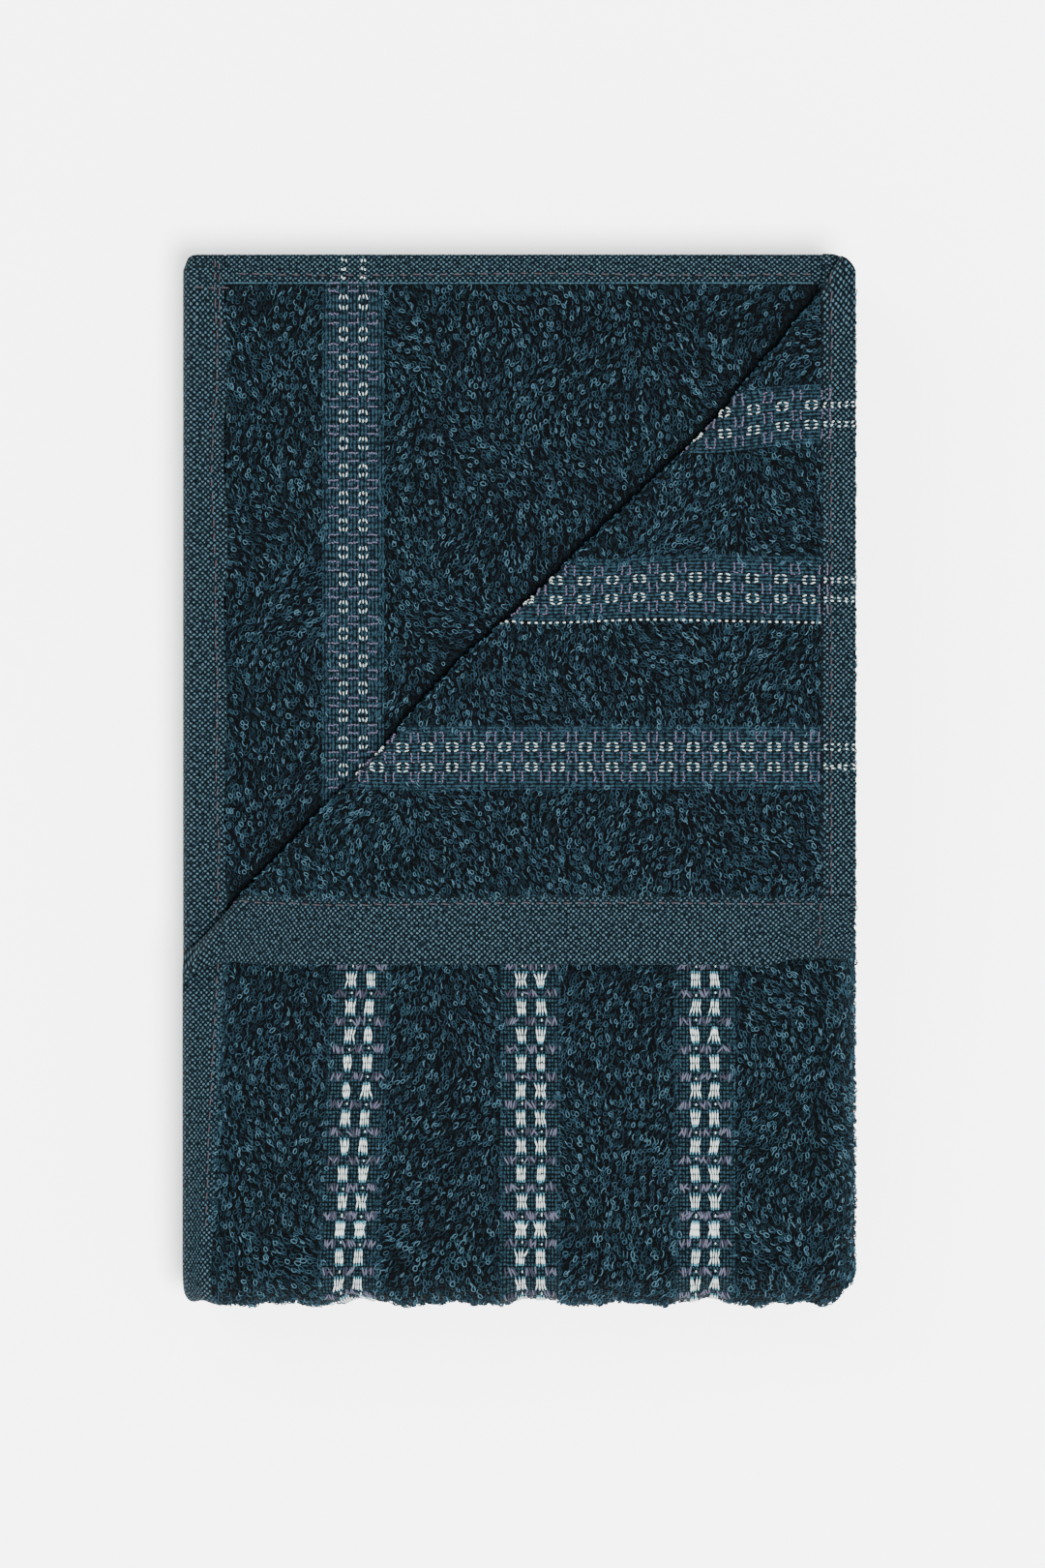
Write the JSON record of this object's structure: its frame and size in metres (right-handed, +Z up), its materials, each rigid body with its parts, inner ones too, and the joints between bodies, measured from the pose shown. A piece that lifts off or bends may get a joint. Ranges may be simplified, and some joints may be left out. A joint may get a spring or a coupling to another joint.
{
  "type": "folded terry towel",
  "caption": "Folded terry towel in dark teal with woven dotted bands and plain hems; the top layer's corner is turned back and the pack unfolds in half.",
  "frame": {"origin": "middle of the pack's underside, on the surface it lies on", "axes": "+X to the pack's right, where the layers are folded; +Y away from the half fold, to the side hems; +Z up"},
  "size_m": [0.16, 0.249, 0.0385],
  "materials": {
    "terry": "dark teal looped pile, matt",
    "plain_weave": "flat woven hem, matt",
    "sewing_thread": "slate sewing thread",
    "mint_yarn": "pale mint woven dots, soft",
    "slate_yarn": "slate mauve woven dots, soft"
  },
  "bodies": {
    "lower_half": {"lower_panel_1": "terry", "lower_panel_2": "terry", "lower_panel_3": "terry", "lower_panel_4": "terry", "lower_panel_5": "terry", "lower_panel_6": "terry", "lower_right_fold_1": "terry", "lower_right_fold_2": "terry", "lower_right_fold_3": "terry", "lower_left_fold_1": "terry", "lower_left_fold_2": "terry", "lower_end_hem_a": "plain_weave", "lower_end_hem_b": "plain_weave", "half_fold_1": "terry", "half_fold_2": "terry", "half_fold_3": "terry", "half_fold_4": "terry", "half_fold_5": "terry", "half_fold_6": "terry"},
    "upper_half": {"upper_panel_1": "terry", "upper_panel_2": "terry", "upper_panel_3": "terry", "upper_panel_4": "terry", "upper_panel_5": "terry", "upper_panel_6": "terry", "upper_right_fold_1": "terry", "upper_right_fold_2": "terry", "upper_right_fold_3": "terry", "upper_left_fold_1": "terry", "upper_left_fold_2": "terry", "upper_end_hem_a": "plain_weave", "upper_end_hem_b": "plain_weave", "upper_side_hem_b": "plain_weave", "upper_side_hem_b_thread": "sewing_thread", "upper_end_hem_a_thread": "sewing_thread", "upper_end_hem_b_thread": "sewing_thread"},
    "corner_flap": {"flap_panel": "terry", "flap_end_hem": "plain_weave", "flap_side_hem": "plain_weave", "flap_hem_corner": "plain_weave", "flap_end_hem_thread": "sewing_thread", "flap_side_hem_thread": "sewing_thread"}
  },
  "joints": [
    {"name": "half_open", "type": "hinge", "parent": "lower_half", "child": "upper_half", "pos_m": [0, -0.10685, 0.01775], "axis": [1, 0, 0], "range_deg": [0, 177], "deforming": ["half_fold_1", "half_fold_2", "half_fold_3", "half_fold_4", "half_fold_5", "half_fold_6"]},
    {"name": "corner_fold", "type": "hinge", "parent": "upper_half", "child": "corner_flap", "pos_m": [0, 0.0415, 0.03575], "axis": [-0.7071, -0.7071, 0], "range_deg": [0, 180]}
  ]
}
